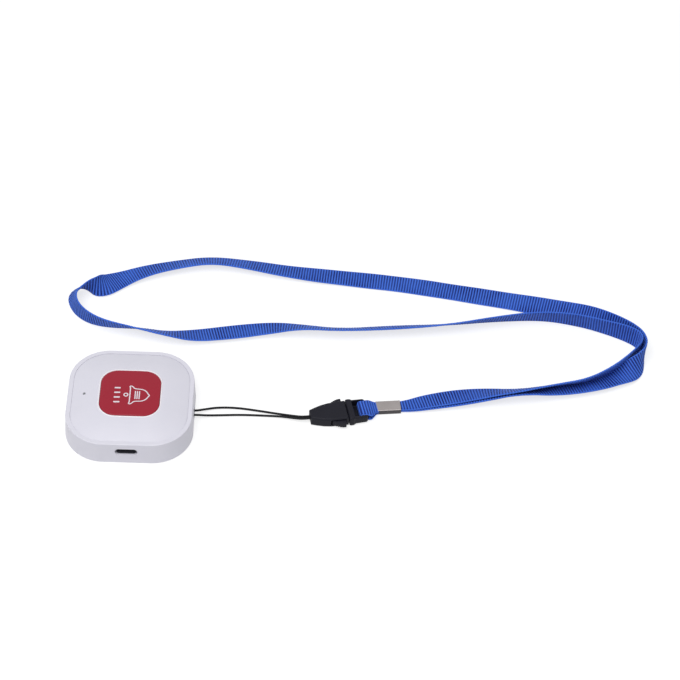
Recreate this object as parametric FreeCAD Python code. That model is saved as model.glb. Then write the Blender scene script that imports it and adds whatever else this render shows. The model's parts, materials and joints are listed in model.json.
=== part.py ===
import FreeCAD, Part
import math
import os
from FreeCAD import Vector

# Wearable call-button pendant on a woven neck lanyard, in millimetres.
# X runs right along the string, Y away from the charging port, Z up. Origin: middle of the underside.

# Pendant housing
RIM_SIDE = 55.0
FOOT_SIDE = 55.9
CORNER_R = 17.6
RIM_Z = 11.6
RIM_WIDTH = 2.0
LEDGE_Z = 10.0
WALL = 3.1
FLOOR_T = 1.6
FOOT_FILLET = 0.8
COVER_GAP = 0.15
COVER_T = 1.4
# The cover rises from its edge to the button's opening, steeply at first
DOME_EDGE_Z = 11.5
DOME_RISE = 2.75
DOME_POWER = 1.5
DOME_INNER_SIDE = 25.2
DOME_STEPS = (0, 0.06, 0.16, 0.3, 0.46, 0.64, 0.82, 1.0)
CORNER_SHRINK = 0.665

# Call button and what it presses
BUTTON_SIDE = 26.2
BUTTON_R = 7.3
BUTTON_GAP = 0.25
BUTTON_TOP_Z = 15.0
BUTTON_CROWN_R = 200.0
BUTTON_FLANGE = 1.7
SEAL_Z = (12.1, 12.35)
FLANGE_Z = (11.05, 11.95)

# Circuit board and the pieces on it
BOARD_Z = 6.0
BOARD_T = 1.0
BOARD_SIDE = 47.0
BOSS_AT = 17.5
BOSS_R = 2.2
BOARD_SCREW_AT = (9.5, -18.5)
LED_X = -20.1
PLUNGER_TOP_Z = 10.6
SWITCH_TOP_Z = 9.9
USB_Z = 7.05
USB_SLOT = (9.76, 3.5)
USB_SHELL = (8.94, 3.16)
USB_WALL = 0.28
USB_FRONT_Y = -27.0
USB_BACK_Y = -19.7

# String eyelet in the right-hand wall
EYELET_Z = (0.9, 4.1)
EYELET_WIDTH = 5.2
EYELET_X = 23.6
STRING_BAR_X = 26.3
STRING_BAR_R = 0.65
STRING_D = 1.0

# Two-part buckle, drawn along U from its nose, then turned and set down
BUCKLE_AT = Vector(78.8, -0.6, 0)
BUCKLE_TURN = 12.0
SOCKET_L = 16.5
SOCKET_T = 5.2
SHOULDER_U = 16.7
PLUG_L = 25.3
SLOT_U = (19.5, 22.6)
BAR_Z = (1.6, 3.6)
ARM_Z = (1.2, 4.0)
ARM_ROOT_V = 3.0
ARM_ROOT_R = 0.7
ARM_ROOT_GAP = 0.1

# Metal clip that pinches the webbing
CLIP_AT = Vector(108.0, 7.22, 0)
CLIP_TURN = 6.0
CLIP_SIZE = (10.9, 6.0, 2.6)
CLIP_SHEET = 0.4

# Webbing: route of the band's centre line from clip to clip, as
# (x, y, z, lean in degrees with the left edge up, width). The lower layer leaves first.
BAND_T = 0.8
BAND_W = 10.0
BAND_ROUTE = (
    (114.9, 7.94, 0.87, 0, 4.2),
    (122.0, 8.75, 0.87, 0, 5.8),
    (131.0, 10.8, 1.4, -8, 8.8),
    (144.0, 13.4, 1.8, -13, BAND_W),
    (158.0, 15.4, 2.5, -24, BAND_W),
    (171.5, 16.4, 4.0, -43, BAND_W),
    (189.0, 19.9, 2.9, -28, BAND_W),
    (208.5, 24.2, 2.8, -27, BAND_W),
    (220.5, 27.4, 3.8, -42, BAND_W),
    (227.6, 32.6, 4.9, -62, BAND_W),
    (230.6, 43.5, 5.3, -74, BAND_W),
    (225.5, 53.8, 4.7, -58, BAND_W),
    (214.5, 62.2, 3.5, -38, BAND_W),
    (197.0, 69.8, 2.2, -18, BAND_W),
    (175.0, 75.4, 1.3, -6, BAND_W),
    (149.0, 80.6, 0.7, -2, BAND_W),
    (122.0, 85.5, 0.5, 0, BAND_W),
    (94.0, 88.2, 0.7, 2, BAND_W),
    (69.0, 90.2, 1.5, 12, BAND_W),
    (49.0, 93.4, 2.4, 22, BAND_W),
    (31.0, 95.4, 2.9, 28, BAND_W),
    (15.0, 91.8, 2.7, 24, BAND_W),
    (1.0, 87.0, 2.3, 18, BAND_W),
    (-11.0, 80.6, 1.2, 3, BAND_W),
    (-19.2, 74.8, 4.6, -55, BAND_W),
    (-26.2, 72.4, 5.3, -90, BAND_W),
    (-31.6, 68.0, 5.2, -104, BAND_W),
    (-32.9, 61.2, 5.1, -109, BAND_W),
    (-29.4, 55.0, 5.3, -98, BAND_W),
    (-22.4, 52.0, 5.3, -78, BAND_W),
    (-12.0, 50.2, 5.0, -62, BAND_W),
    (0.0, 48.6, 4.2, -46, BAND_W),
    (12.5, 46.2, 3.7, -38, BAND_W),
    (25.0, 46.8, 2.0, -15, BAND_W),
    (42.0, 50.3, 1.5, -10, BAND_W),
    (60.0, 53.5, 1.9, -15, BAND_W),
    (74.0, 53.2, 3.6, -36, BAND_W),
    (92.0, 51.6, 4.1, -43, BAND_W),
    (116.0, 54.5, 3.7, -38, BAND_W),
    (142.0, 57.8, 4.1, -44, BAND_W),
    (164.0, 63.6, 3.4, -34, BAND_W),
    (185.0, 66.4, 2.6, -24, BAND_W),
    (202.0, 64.2, 2.0, -15, BAND_W),
    (214.0, 59.2, 1.6, 5, BAND_W),
    (222.4, 53.4, 4.0, 42, BAND_W),
    (227.6, 46.6, 5.3, 72, BAND_W),
    (227.0, 39.6, 5.4, 82, BAND_W),
    (221.9, 34.9, 5.3, 76, BAND_W),
    (213.3, 31.4, 5.2, 68, BAND_W),
    (201.5, 27.4, 4.8, 58, BAND_W),
    (189.0, 23.6, 4.3, 48, BAND_W),
    (171.0, 17.4, 4.9, 43, BAND_W),
    (157.0, 16.2, 3.5, 24, BAND_W),
    (143.0, 13.9, 2.9, 13, BAND_W),
    (130.5, 11.1, 2.4, 8, 8.8),
    (121.6, 8.7, 1.76, 0, 5.8),
    (114.5, 7.9, 1.76, 0, 4.2),
)
# String: upper strand, round the bar in the eyelet, lower strand; both ends go into the buckle's nose
STRING_ROUTE = (
    (82.20, 0.70, 2.6),
    (76.14, -0.59, 2.6),
    (71.0, 0.5, 1.1),
    (65.0, 2.2, 0.6),
    (55.5, 4.1, 0.6),
    (46.5, 5.4, 0.6),
    (38.0, 5.2, 0.7),
    (32.0, 3.0, 1.6),
    (28.4, 1.25, 2.5),
    (25.0, 1.45, 2.5),
    (25.0, -1.45, 2.5),
    (28.6, -1.15, 2.5),
    (33.5, -0.4, 1.5),
    (40.0, 0.8, 0.6),
    (49.0, 1.4, 0.6),
    (59.0, 1.3, 0.6),
    (66.5, 0.6, 0.7),
    (72.0, -0.9, 1.2),
    (76.37, -1.69, 2.6),
    (82.44, -0.40, 2.6),
)
LEAD_D = 0.8

PARTS = "parts"
UP = Vector(0, 0, 1)


def box(x0, x1, y0, y1, z0, z1):
    return Part.makeBox(x1 - x0, y1 - y0, z1 - z0, Vector(x0, y0, z0))


def post(x, y, z0, z1, r):
    return Part.makeCylinder(r, z1 - z0, Vector(x, y, z0), UP)


def rounded_square(side, r, z):
    h = side / 2
    c = h - r
    q = r * math.sqrt(0.5)
    edges = []
    for turn in range(4):
        a = Vector(-c, -h, z)
        b = Vector(c, -h, z)
        middle = Vector(c + q, -c - q, z)
        end = Vector(h, -c, z)
        pair = (Part.LineSegment(a, b).toShape(), Part.Arc(b, middle, end).toShape())
        for edge in pair:
            edge.rotate(Vector(0, 0, 0), UP, 90 * turn)
            edges.append(edge)
    return Part.Wire(Part.__sortEdges__(edges))


def slab(side, r, z0, z1):
    return Part.Face(rounded_square(side, r, z0)).extrude(Vector(0, 0, z1 - z0))


def stadium(width, height, y0, y1, z):
    r = height / 2
    flat = width / 2 - r
    shape = box(-flat, flat, y0, y1, z - r, z + r)
    for x in (-flat, flat):
        shape = shape.fuse(Part.makeCylinder(r, y1 - y0, Vector(x, y0, z), Vector(0, 1, 0)))
    return shape.removeSplitter()


def cut_all(shape, tools):
    return shape.cut(tools[0].multiFuse(tools[1:])) if len(tools) > 1 else shape.cut(tools[0])


def edges_at(shape, z):
    return [e for e in shape.Edges if abs(e.BoundBox.ZMin - z) < 0.01 and abs(e.BoundBox.ZMax - z) < 0.01]


def corners():
    return [(sx * BOSS_AT, sy * BOSS_AT) for sx in (-1, 1) for sy in (-1, 1)]


def board_screw_places():
    x, y = BOARD_SCREW_AT
    return [(-x, y), (x, y)]


# Housing

def bottom_case():
    rings = [rounded_square(FOOT_SIDE, CORNER_R, 0), rounded_square(RIM_SIDE, CORNER_R, RIM_Z)]
    shell = Part.makeLoft(rings, True, True)
    shell = shell.makeFillet(FOOT_FILLET, edges_at(shell, 0))
    shell = shell.makeFillet(0.35, edges_at(shell, RIM_Z))
    recess = RIM_SIDE - 2 * RIM_WIDTH
    cavity = RIM_SIDE - 2 * WALL
    shell = shell.cut(slab(recess, CORNER_R - RIM_WIDTH, LEDGE_Z, RIM_Z + 1))
    shell = shell.cut(slab(cavity, CORNER_R - WALL, FLOOR_T, LEDGE_Z + 1))
    shell = shell.cut(stadium(*USB_SLOT, -FOOT_SIDE, -cavity / 2 + 1, USB_Z))
    solids = [post(x, y, FLOOR_T - 0.5, 4.0, 2.8) for x, y in corners()]
    solids += [post(x, y, FLOOR_T - 0.5, BOARD_Z, 2.0) for x, y in board_screw_places()]
    solids += [post(x, 19.5, FLOOR_T - 0.5, BOARD_Z, 1.6) for x in (-12.0, 12.0)]
    solids.append(box(22.2, cavity / 2 + 1, -4.2, 4.2, FLOOR_T - 0.5, 5.2))
    shell = shell.multiFuse(solids)
    half = EYELET_WIDTH / 2
    tools = [box(EYELET_X, FOOT_SIDE, -half, half, *EYELET_Z)]
    tools += [post(x, y, -1, 5, 1.05) for x, y in corners()]
    tools += [post(x, y, -1, 1.0, 2.05) for x, y in corners()]
    tools += [post(x, y, 2.6, BOARD_Z + 1, 0.65) for x, y in board_screw_places()]
    shell = cut_all(shell, tools)
    bar = post(STRING_BAR_X, 0, EYELET_Z[0] - 0.3, EYELET_Z[1] + 0.3, STRING_BAR_R)
    return shell.fuse(bar).removeSplitter()


def dome(side, corner_r, inset):
    rings = []
    for step in DOME_STEPS:
        in_by = step * (side - DOME_INNER_SIDE) / 2
        z = DOME_EDGE_Z + DOME_RISE * (1 - (1 - step) ** DOME_POWER)
        r = corner_r - in_by * CORNER_SHRINK - inset
        rings.append(rounded_square(side - 2 * in_by - 2 * inset, r, z - inset))
    return Part.makeLoft(rings, True, True)


def top_cover():
    side = RIM_SIDE - 2 * RIM_WIDTH - 2 * COVER_GAP
    r = CORNER_R - RIM_WIDTH - COVER_GAP
    inner_z = DOME_EDGE_Z - COVER_T
    outer = slab(side, r, LEDGE_Z, DOME_EDGE_Z).fuse(dome(side, r, 0))
    inner = slab(side - 2 * COVER_T, r - COVER_T, LEDGE_Z - 1, inner_z).fuse(dome(side, r, COVER_T))
    aperture = slab(BUTTON_SIDE + 2 * BUTTON_GAP, BUTTON_R + BUTTON_GAP, LEDGE_Z, BUTTON_TOP_Z + 2)
    bosses = [post(x, y, 4.15, 12.0, BOSS_R) for x, y in corners()]
    shell = outer.cut(inner).cut(aperture).multiFuse(bosses)
    tools = [post(x, y, 4.0, 9.8, 1.0) for x, y in corners()]
    tools.append(post(LED_X, 0, LEDGE_Z, BUTTON_TOP_Z, 0.65))
    return cut_all(shell, tools).removeSplitter()


def button_blank(side, r, z0):
    ball = Part.makeSphere(BUTTON_CROWN_R, Vector(0, 0, BUTTON_TOP_Z - BUTTON_CROWN_R))
    return slab(side, r, z0, BUTTON_TOP_Z + 1).common(ball)


def call_button():
    cap = button_blank(BUTTON_SIDE, BUTTON_R, FLANGE_Z[1])
    top = [e for e in cap.Edges if e.BoundBox.ZMin > 14.0]
    cap = cap.makeFillet(0.45, top)
    flange = slab(BUTTON_SIDE + 2 * BUTTON_FLANGE, BUTTON_R + BUTTON_FLANGE, *FLANGE_Z)
    cap = cap.fuse(flange)
    cap = cap.cut(slab(BUTTON_SIDE - 2.8, BUTTON_R - 1.4, FLANGE_Z[0] - 1, 13.2))
    stem = [post(0, 0, PLUNGER_TOP_Z, 13.4, 1.9)]
    stem.append(box(-12.0, 12.0, -0.4, 0.4, 12.2, 13.4))
    stem.append(box(-0.4, 0.4, -12.0, 12.0, 12.2, 13.4))
    return cap.multiFuse(stem).removeSplitter()


def button_seal():
    outer = slab(30.0, 9.1, *SEAL_Z)
    return outer.cut(slab(BUTTON_SIDE + 0.7, BUTTON_R + 0.35, SEAL_Z[0] - 1, SEAL_Z[1] + 1))


def light_pipe():
    stem = post(LED_X, 0, 8.0, 13.05, 0.6)
    return stem.fuse(post(LED_X, 0, 9.6, 10.5, 1.2)).removeSplitter()


# Electronics

def circuit_board():
    board = slab(BOARD_SIDE, CORNER_R - WALL - 0.9, BOARD_Z, BOARD_Z + BOARD_T)
    tools = [box(-4.65, 4.65, -30.0, USB_BACK_Y + 0.1, BOARD_Z - 1, BOARD_Z + 2)]
    tools += [post(x, y, BOARD_Z - 1, BOARD_Z + 2, BOSS_R + 0.3) for x, y in corners()]
    tools += [post(x, y, BOARD_Z - 1, BOARD_Z + 2, 0.9) for x, y in board_screw_places()]
    return cut_all(board, tools)


def switch_body():
    body = box(-3, 3, -3, 3, BOARD_Z + BOARD_T, SWITCH_TOP_Z)
    return body.cut(post(0, 0, 7.9, 11, 1.75))


def switch_plunger():
    return post(0, 0, 8.6, PLUNGER_TOP_Z, 1.65)


def usb_shell():
    outer = stadium(*USB_SHELL, USB_FRONT_Y, USB_BACK_Y, USB_Z)
    inner = [v - 2 * USB_WALL for v in USB_SHELL]
    tube = outer.cut(stadium(*inner, USB_FRONT_Y - 1, USB_BACK_Y + 1, USB_Z))
    top = BOARD_Z + BOARD_T
    tabs = [box(x0, x1, -22.6, -20.6, top, top + 0.3) for x0, x1 in ((-6.0, -4.4), (4.4, 6.0))]
    return tube.multiFuse(tabs).removeSplitter()


def usb_tongue():
    plate = box(-3.35, 3.35, USB_FRONT_Y + 0.9, USB_BACK_Y - 1, USB_Z - 0.35, USB_Z + 0.35)
    inner = [v - 2 * USB_WALL - 0.04 for v in USB_SHELL]
    return plate.fuse(stadium(*inner, USB_BACK_Y - 1.6, USB_BACK_Y - 0.1, USB_Z)).removeSplitter()


def chip(x, y, length, width, height):
    top = BOARD_Z + BOARD_T
    body = box(x - length / 2, x + length / 2, y - width / 2, y + width / 2, top, top + height)
    return body.makeChamfer(0.12, edges_at(body, top + height))


def chip_passives():
    places = [(x, 13.5) for x in (-14.0, -11.8, -9.6, -7.4)]
    places += [(x, 3.5) for x in (7.0, 9.2, 11.4, 13.6)]
    places += [(x, -13.5) for x in (-12.0, -9.8, -7.6, 12.6)]
    return Part.makeCompound([chip(x, y, 1.0, 0.5, 0.5) for x, y in places])


def battery_cell():
    pouch = box(-15, 15, -15.5, 8.5, 1.95, 5.35)
    long_edges = [e for e in pouch.Edges if e.BoundBox.YLength > 20]
    return pouch.makeFillet(1.2, long_edges)


def screws(places, head_r, z_head, shank_r, z_shank):
    solids = []
    for x, y in places:
        screw = post(x, y, *z_head, head_r).fuse(post(x, y, *z_shank, shank_r))
        outer_z = z_head[0] if z_head[0] < z_shank[0] else z_head[1]
        for wide, deep in ((1.0, 0.18), (0.18, 1.0)):
            screw = screw.cut(box(x - wide, x + wide, y - deep, y + deep, outer_z - 0.45, outer_z + 0.45))
        solids.append(screw.removeSplitter())
    return Part.makeCompound(solids)


# Soft route along straight runs joined by tangent arcs

def route_stations(points, name, arc_step=25.0):
    # Gives (place, direction, travel as point number) at each end of a run and within each arc
    pts = [Vector(*p[:3]) for p in points]
    stations = [(pts[0], (pts[1] - pts[0]).normalize(), 0.0)]
    radii = []
    arcs = []
    for i in range(1, len(pts) - 1):
        before = pts[i] - pts[i - 1]
        after = pts[i + 1] - pts[i]
        shorter = min(before.Length, after.Length)
        d0 = before.normalize()
        d1 = after.normalize()
        turn = d0.getAngle(d1)
        setback = 0.45 * shorter
        radius = setback / math.tan(turn / 2)
        radii.append(radius)
        start = pts[i] - d0 * setback
        side = (d1 - d0 * d0.dot(d1)).normalize()
        steps = max(2, math.ceil(math.degrees(turn) / arc_step))
        for k in range(steps + 1):
            a = turn * k / steps
            place = start + d0 * (radius * math.sin(a)) + side * (radius * (1 - math.cos(a)))
            way = d0 * math.cos(a) + side * math.sin(a)
            share = (k / steps - 0.5) * 0.9
            stations.append((place, way, i + share))
        middle = start + d0 * (radius * math.sin(turn / 2)) + side * (radius * (1 - math.cos(turn / 2)))
        arcs.append((start, middle, pts[i] + d1 * setback))
    stations.append((pts[-1], (pts[-1] - pts[-2]).normalize(), len(pts) - 1.0))
    print(name, "radii", " ".join(f"{r:.0f}" for r in radii))
    return stations, arcs


def between(points, column, travel):
    i = min(int(travel), len(points) - 2)
    share = travel - i
    return points[i][column] * (1 - share) + points[i + 1][column] * share


def tube(points, diameter, name):
    stations, arcs = route_stations(points, name)
    edges = []
    here = stations[0][0]
    for start, middle, end in arcs:
        edges.append(Part.LineSegment(here, start).toShape())
        edges.append(Part.Arc(start, middle, end).toShape())
        here = end
    edges.append(Part.LineSegment(here, stations[-1][0]).toShape())
    length = sum(e.Length for e in edges)
    path = Part.Wire(edges)
    ring = Part.Wire(Part.makeCircle(diameter / 2, stations[0][0], stations[0][1]))
    solid = path.makePipeShell([ring], True, False)
    section = math.pi * diameter ** 2 / 4
    print(name, f"length {length:.1f} volume {solid.Volume:.1f} of {section * length:.1f}")
    return solid


def leaning_section(place, way, lean, width):
    left = UP.cross(way).normalize()
    upright = way.cross(left).normalize()
    a = math.radians(lean)
    across = left * math.cos(a) + upright * math.sin(a)
    return strap_section(place, across, upright * math.cos(a) - left * math.sin(a), width)


def neck_band():
    stations, _ = route_stations(BAND_ROUTE, "neck_band")
    wires = []
    length = 0
    volume = 0
    last = None
    for place, way, travel in stations:
        width = between(BAND_ROUTE, 4, travel)
        wires.append(leaning_section(place, way, between(BAND_ROUTE, 3, travel), width))
        if last is not None:
            step = (place - last).Length
            length += step
            volume += step * width * BAND_T
        last = place
    solid = Part.makeLoft(wires, True, True)
    print(f"neck_band length {length:.1f} volume {solid.Volume:.1f} of {volume:.1f}")
    return solid


# Buckle and end fitting

def set_down(shape, at, turn):
    shape.rotate(Vector(0, 0, 0), UP, turn)
    shape.translate(at)
    return shape


def outline(points, z0, z1):
    loop = [Vector(u, v, z0) for u, v in points]
    return Part.Face(Part.makePolygon(loop + loop[:1])).extrude(Vector(0, 0, z1 - z0))


def both_sides(half):
    return list(half) + [(u, -v) for u, v in reversed(half)]


def buckle_socket():
    half = ((0, 2.5), (2.5, 3.5), (5.5, 4.5), (8.6, 5.1), (12.0, 5.3), (SOCKET_L, 5.4))
    body = outline(both_sides(half), 0, SOCKET_T)
    rims = edges_at(body, 0) + edges_at(body, SOCKET_T)
    body = body.makeChamfer(0.6, rims)
    tools = [box(7.0, SOCKET_L + 1, -4.2, 4.2, 1.0, 4.2)]
    tools.append(box(4.4, 8.0, -2.2, 2.2, 1.0, 4.2))
    tools.append(box(8.6, 15.2, -8.0, 8.0, 0.9, 4.3))
    tools.append(Part.makeCylinder(1.25, 6.0, Vector(-1, 0, 2.6), Vector(1, 0, 0)))
    return set_down(cut_all(body, tools), BUCKLE_AT, BUCKLE_TURN)


def buckle_plug():
    shoulder = outline(both_sides(((SHOULDER_U, 5.6), (17.3, 6.0), (18.6, 6.0), (19.5, 5.5))), 0.1, 5.1)
    shoulder = shoulder.makeChamfer(0.5, edges_at(shoulder, 0.1) + edges_at(shoulder, 5.1))
    frame = outline(both_sides(((18.9, 5.6), (24.6, 5.4), (PLUG_L, 4.7))), 0.5, 4.7)
    frame = frame.makeChamfer(0.5, edges_at(frame, 0.5) + edges_at(frame, 4.7))
    frame = frame.cut(box(SLOT_U[0], PLUG_L + 1, -4.5, 4.5, -1, 6))
    bar = box(SLOT_U[1], PLUG_L - 0.2, -4.8, 4.8, *BAR_Z)
    bar = bar.makeFillet(0.9, [e for e in bar.Edges if e.BoundBox.YLength > 5])
    tongue = box(8.4, SHOULDER_U + 0.4, -1.0, 1.0, 1.4, 3.8)
    plug = shoulder.multiFuse([frame, bar, tongue]).removeSplitter()
    seat_r = ARM_ROOT_R + ARM_ROOT_GAP
    seat_z = (ARM_Z[0] - ARM_ROOT_GAP, ARM_Z[1] + ARM_ROOT_GAP)
    seats = [post(SHOULDER_U, side * ARM_ROOT_V, *seat_z, seat_r) for side in (-1, 1)]
    return set_down(cut_all(plug, seats), BUCKLE_AT, BUCKLE_TURN)


def latch_arm(side):
    points = (
        (SHOULDER_U, 2.3), (SHOULDER_U, 3.7), (15.1, 3.8), (15.0, 6.2), (14.2, 6.7), (12.6, 6.5),
        (10.6, 5.9), (9.2, 5.0), (8.9, 3.6), (9.4, 2.6),
    )
    arm = outline([(u, side * v) for u, v in points], *ARM_Z)
    arm = arm.makeChamfer(0.3, edges_at(arm, ARM_Z[1]))
    root = post(SHOULDER_U, side * ARM_ROOT_V, *ARM_Z, ARM_ROOT_R)
    return set_down(arm.fuse(root).removeSplitter(), BUCKLE_AT, BUCKLE_TURN)


def strap_section(place, across, outward, width):
    w = across * (width / 2)
    n = outward * (BAND_T / 2)
    return Part.makePolygon([place - w - n, place + w - n, place + w + n, place - w + n, place - w - n])


def heading(degrees):
    return Vector(math.cos(math.radians(degrees)), math.sin(math.radians(degrees)), 0)


def at_height(place, z):
    return Vector(place.x, place.y, z)


def end_loop():
    # One layer leaves the clip over the bar, goes round it and comes back under it
    along = heading(BUCKLE_TURN)
    clip_along = heading(CLIP_TURN)
    bar_z = (BAR_Z[0] + BAR_Z[1]) / 2
    radius = (BAR_Z[1] - BAR_Z[0]) / 2 + 0.15 + BAND_T / 2
    turn_at = BUCKLE_AT + along * (SLOT_U[1] + 0.95)
    past_bar = BUCKLE_AT + along * (PLUG_L - 0.6)
    middle_z = CLIP_SIZE[2] / 2
    wires = []
    for side in (1, -1):
        layer_z = middle_z + side * (BAND_T / 2 + 0.02)
        rows = [
            (at_height(CLIP_AT + clip_along * 4.5, layer_z), clip_along, 4.6),
            (at_height(CLIP_AT + clip_along * 0.1, layer_z), clip_along, 4.7),
            (at_height(past_bar, bar_z + side * radius), along, 7.6),
            (at_height(turn_at, bar_z + side * radius), along, 8.2),
        ]
        if side < 0:
            rows.reverse()
        for place, way, width in rows:
            wires.append(strap_section(place, UP.cross(way), UP * side, width))
        if side > 0:
            for step in range(1, 8):
                a = math.pi * step / 8
                out = UP * math.cos(a) - along * math.sin(a)
                place = at_height(turn_at, bar_z) + out * radius
                wires.append(strap_section(place, UP.cross(along), out, 8.2))
    return Part.makeLoft(wires, True, True)


def clip():
    length, width, height = CLIP_SIZE
    body = box(0, length, -width / 2, width / 2, 0, height)
    body = body.makeFillet(0.5, [e for e in body.Edges if e.BoundBox.XLength > 5])
    t = CLIP_SHEET
    body = body.cut(box(-1, length + 1, -width / 2 + t, width / 2 - t, t, height - t))
    return set_down(body, CLIP_AT, CLIP_TURN)


def battery_lead(x, x_end):
    points = ((x, 8.5, 3.6), (x, 10.2, 3.6), (x_end, 11.6, 5.0), (x_end, 13.2, 5.0))
    return tube(points, LEAD_D, "battery_lead")


NODES = {
    "bottom_case": bottom_case,
    "top_cover": top_cover,
    "call_button": call_button,
    "button_seal": button_seal,
    "light_pipe": light_pipe,
    "circuit_board": circuit_board,
    "switch_body": switch_body,
    "switch_plunger": switch_plunger,
    "usb_shell": usb_shell,
    "usb_tongue": usb_tongue,
    "status_led": lambda: chip(LED_X, 0, 1.6, 0.8, 0.65),
    "radio_chip": lambda: chip(10, 8.5, 5, 5, 0.9),
    "controller_chip": lambda: chip(-10, 8, 4, 4, 0.85),
    "charger_chip": lambda: chip(9, -12.5, 2.9, 2.8, 1.1),
    "crystal_can": lambda: chip(3.5, 12, 3.2, 2.5, 0.7),
    "chip_antenna": lambda: chip(0, 20.8, 7, 2, 0.8),
    "chip_passives": chip_passives,
    "battery_cell": battery_cell,
    "battery_pad": lambda: box(-14, 14, -14.5, 7.5, FLOOR_T, 1.95),
    "battery_connector": lambda: box(3.6, 9.4, 13.2, 16.6, 4.2, BOARD_Z),
    "battery_lead_red": lambda: battery_lead(5.0, 5.6),
    "battery_lead_black": lambda: battery_lead(8.0, 7.4),
    "case_screws": lambda: screws(corners(), 1.85, (0.15, 1.0), 0.95, (1.0, 8.6)),
    "board_screws": lambda: screws(board_screw_places(), 1.5, (7.0, 7.8), 0.6, (3.0, 7.0)),
    "pendant_string": lambda: tube(STRING_ROUTE, STRING_D, "pendant_string"),
    "buckle_socket": buckle_socket,
    "buckle_plug": buckle_plug,
    "latch_arm_front": lambda: latch_arm(-1),
    "latch_arm_back": lambda: latch_arm(1),
    "end_loop": end_loop,
    "clip": clip,
    "neck_band": neck_band,
}

os.makedirs(PARTS, exist_ok=True)
for node, make in NODES.items():
    shape = make()
    if not shape.isValid():
        print("NOT VALID", node)
    shape.exportStep(os.path.join(PARTS, node + ".step"))
    b = shape.BoundBox
    print(f"{node}: solids {len(shape.Solids)} volume {shape.Volume:.1f} "
          f"x {b.XMin:.2f} {b.XMax:.2f} y {b.YMin:.2f} {b.YMax:.2f} z {b.ZMin:.2f} {b.ZMax:.2f}")
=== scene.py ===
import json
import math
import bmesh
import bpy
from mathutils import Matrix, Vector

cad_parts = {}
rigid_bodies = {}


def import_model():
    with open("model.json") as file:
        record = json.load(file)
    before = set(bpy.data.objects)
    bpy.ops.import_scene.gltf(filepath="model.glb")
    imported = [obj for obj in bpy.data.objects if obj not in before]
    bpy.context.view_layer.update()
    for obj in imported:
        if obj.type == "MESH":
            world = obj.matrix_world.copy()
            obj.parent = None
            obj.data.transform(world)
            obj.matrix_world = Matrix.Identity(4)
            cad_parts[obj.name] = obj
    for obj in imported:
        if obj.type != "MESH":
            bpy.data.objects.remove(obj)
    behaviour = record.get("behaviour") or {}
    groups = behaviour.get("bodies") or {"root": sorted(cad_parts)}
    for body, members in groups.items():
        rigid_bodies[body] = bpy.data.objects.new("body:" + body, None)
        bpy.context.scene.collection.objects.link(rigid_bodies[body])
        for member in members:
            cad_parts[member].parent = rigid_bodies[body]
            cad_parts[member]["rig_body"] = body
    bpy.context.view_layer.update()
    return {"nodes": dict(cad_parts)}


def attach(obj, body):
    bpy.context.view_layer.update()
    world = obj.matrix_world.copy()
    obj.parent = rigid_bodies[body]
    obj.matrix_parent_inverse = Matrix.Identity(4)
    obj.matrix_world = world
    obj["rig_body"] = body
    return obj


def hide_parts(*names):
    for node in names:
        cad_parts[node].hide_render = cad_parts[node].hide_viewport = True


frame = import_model()

# %% [markdown]
# A call pendant is a small white box with one big red button, worn on a woven neck lanyard. The
# construction is already loaded above as a fixed frame in metres. This lesson dresses it: it
# reads where the solids are, models the pieces whose shape shows most again as smooth meshes,
# and gives every piece a finish.

MM = 0.001


def mm(x, y, z):
    return Vector((x, y, z)) * MM


# %% [markdown]
# The camera stands where a photographer would: about a metre away with a long lens, looking down
# at 47 degrees, turned by two degrees and rolled by three. Its matrix is put together from a
# right, an up and a backward direction, which is easier to reason about than three turns in a
# row.

# %% Camera
CAMERA_AT = mm(68.64, -640.18, 733.38)
CAMERA_YAW = 0.03352
CAMERA_PITCH = 0.81605
CAMERA_ROLL = 0.05642
LENS_MM = 116.58
SENSOR_MM = 36
NEAREST = 0.05

ahead = Vector((
    math.sin(CAMERA_YAW) * math.cos(CAMERA_PITCH),
    math.cos(CAMERA_YAW) * math.cos(CAMERA_PITCH),
    -math.sin(CAMERA_PITCH),
))
level = Vector((math.cos(CAMERA_YAW), -math.sin(CAMERA_YAW), 0))
above = level.cross(ahead)
right = level * math.cos(CAMERA_ROLL) + above * math.sin(CAMERA_ROLL)
top = above * math.cos(CAMERA_ROLL) - level * math.sin(CAMERA_ROLL)
facing = Matrix((right, top, -ahead)).transposed().to_4x4()
camera_data = bpy.data.cameras.new("camera")
camera_data.lens = LENS_MM
camera_data.sensor_width = SENSOR_MM
camera_data.clip_start = NEAREST
camera = bpy.data.objects.new("camera", camera_data)
camera.matrix_world = Matrix.Translation(CAMERA_AT) @ facing
bpy.context.scene.collection.objects.link(camera)
bpy.context.scene.camera = camera
print("camera looks down", round(math.degrees(CAMERA_PITCH), 1), "degrees")

# %% [markdown]
# Light on a white product is mostly ambient, and an even pale world gives that from every side.
# The background has to be white as well. More light would wash the object out, so the world
# shows white only to the rays that the camera, a gloss or a clear piece sends out.

# %% World
WORLD_LIGHT = 0.36
WORLD_TINT = (0.97, 0.98, 1.0, 1)
WHITE = (1, 1, 1, 1)


def seen_rays(nodes, links):
    # One where a ray comes from the camera, a gloss or a clear piece
    path = nodes.new("ShaderNodeLightPath")
    total = path.outputs["Is Camera Ray"]
    for kind in ("Is Glossy Ray", "Is Transmission Ray"):
        add = nodes.new("ShaderNodeMath")
        add.operation = "MAXIMUM"
        links.new(total, add.inputs[0])
        links.new(path.outputs[kind], add.inputs[1])
        total = add.outputs[0]
    return total


def light_or_show(nodes, links, lighting, shown, output):
    # The first shader lights the object, the second is what those rays see
    choose = nodes.new("ShaderNodeMixShader")
    links.new(seen_rays(nodes, links), choose.inputs["Fac"])
    links.new(lighting.outputs[0], choose.inputs[1])
    links.new(shown.outputs[0], choose.inputs[2])
    links.new(choose.outputs[0], output.inputs["Surface"])


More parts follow.
